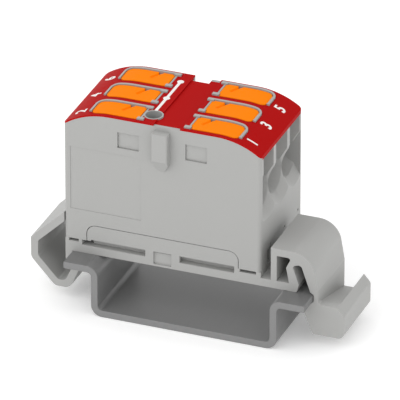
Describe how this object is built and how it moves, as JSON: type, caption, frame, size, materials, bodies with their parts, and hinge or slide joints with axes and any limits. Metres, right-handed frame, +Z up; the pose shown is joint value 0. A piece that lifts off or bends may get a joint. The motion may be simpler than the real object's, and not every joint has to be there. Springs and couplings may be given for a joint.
{
  "type": "push-in power distribution block on a rail adapter",
  "caption": "Low block with push-in wire entries at both ends, push buttons on top and a clip-on adapter clipped to a short top-hat rail.",
  "frame": {"origin": "middle of the flat underside of the rail", "axes": "+X across the rail from the fixed foot to the latch foot, +Y along the rail away from the face with the key rib, +Z up"},
  "size_m": [0.0456, 0.019, 0.0293],
  "materials": {
    "grey_plastic": "fine spark-eroded matt",
    "red_plastic": "satin",
    "orange_plastic": "satin",
    "spring_steel": "bright rolled",
    "rail_steel": "zinc plated and passivated",
    "tinned_copper": "tin plated"
  },
  "bodies": {
    "root": {"rail": "rail_steel", "base_adapter": "grey_plastic", "latch_legs": "grey_plastic", "housing": "grey_plastic", "button_guide": "grey_plastic", "marking_cover": "red_plastic", "busbar": "tinned_copper", "clamp_spring_1": "spring_steel", "clamp_spring_2": "spring_steel", "clamp_spring_3": "spring_steel", "clamp_spring_4": "spring_steel", "clamp_spring_5": "spring_steel", "clamp_spring_6": "spring_steel"},
    "latch": {"latch_foot": "grey_plastic"},
    "button_1": {"push_button_1": "orange_plastic"},
    "button_2": {"push_button_2": "orange_plastic"},
    "button_3": {"push_button_3": "orange_plastic"},
    "button_4": {"push_button_4": "orange_plastic"},
    "button_5": {"push_button_5": "orange_plastic"},
    "button_6": {"push_button_6": "orange_plastic"}
  },
  "joints": [
    {"name": "latch_release", "type": "slide", "parent": "root", "child": "latch", "axis": [1, 0, 0], "range_m": [0, 0.0016], "stiffness_N_per_m": 4000, "deforming": ["latch_legs"]},
    {"name": "press_1", "type": "slide", "parent": "root", "child": "button_1", "axis": [0, 0, -1], "range_m": [0, 0.0015], "stiffness_N_per_m": 400, "deforming": ["clamp_spring_1"]},
    {"name": "press_2", "type": "slide", "parent": "root", "child": "button_2", "axis": [0, 0, -1], "range_m": [0, 0.0015], "stiffness_N_per_m": 400, "deforming": ["clamp_spring_2"]},
    {"name": "press_3", "type": "slide", "parent": "root", "child": "button_3", "axis": [0, 0, -1], "range_m": [0, 0.0015], "stiffness_N_per_m": 400, "deforming": ["clamp_spring_3"]},
    {"name": "press_4", "type": "slide", "parent": "root", "child": "button_4", "axis": [0, 0, -1], "range_m": [0, 0.0015], "stiffness_N_per_m": 400, "deforming": ["clamp_spring_4"]},
    {"name": "press_5", "type": "slide", "parent": "root", "child": "button_5", "axis": [0, 0, -1], "range_m": [0, 0.0015], "stiffness_N_per_m": 400, "deforming": ["clamp_spring_5"]},
    {"name": "press_6", "type": "slide", "parent": "root", "child": "button_6", "axis": [0, 0, -1], "range_m": [0, 0.0015], "stiffness_N_per_m": 400, "deforming": ["clamp_spring_6"]}
  ]
}
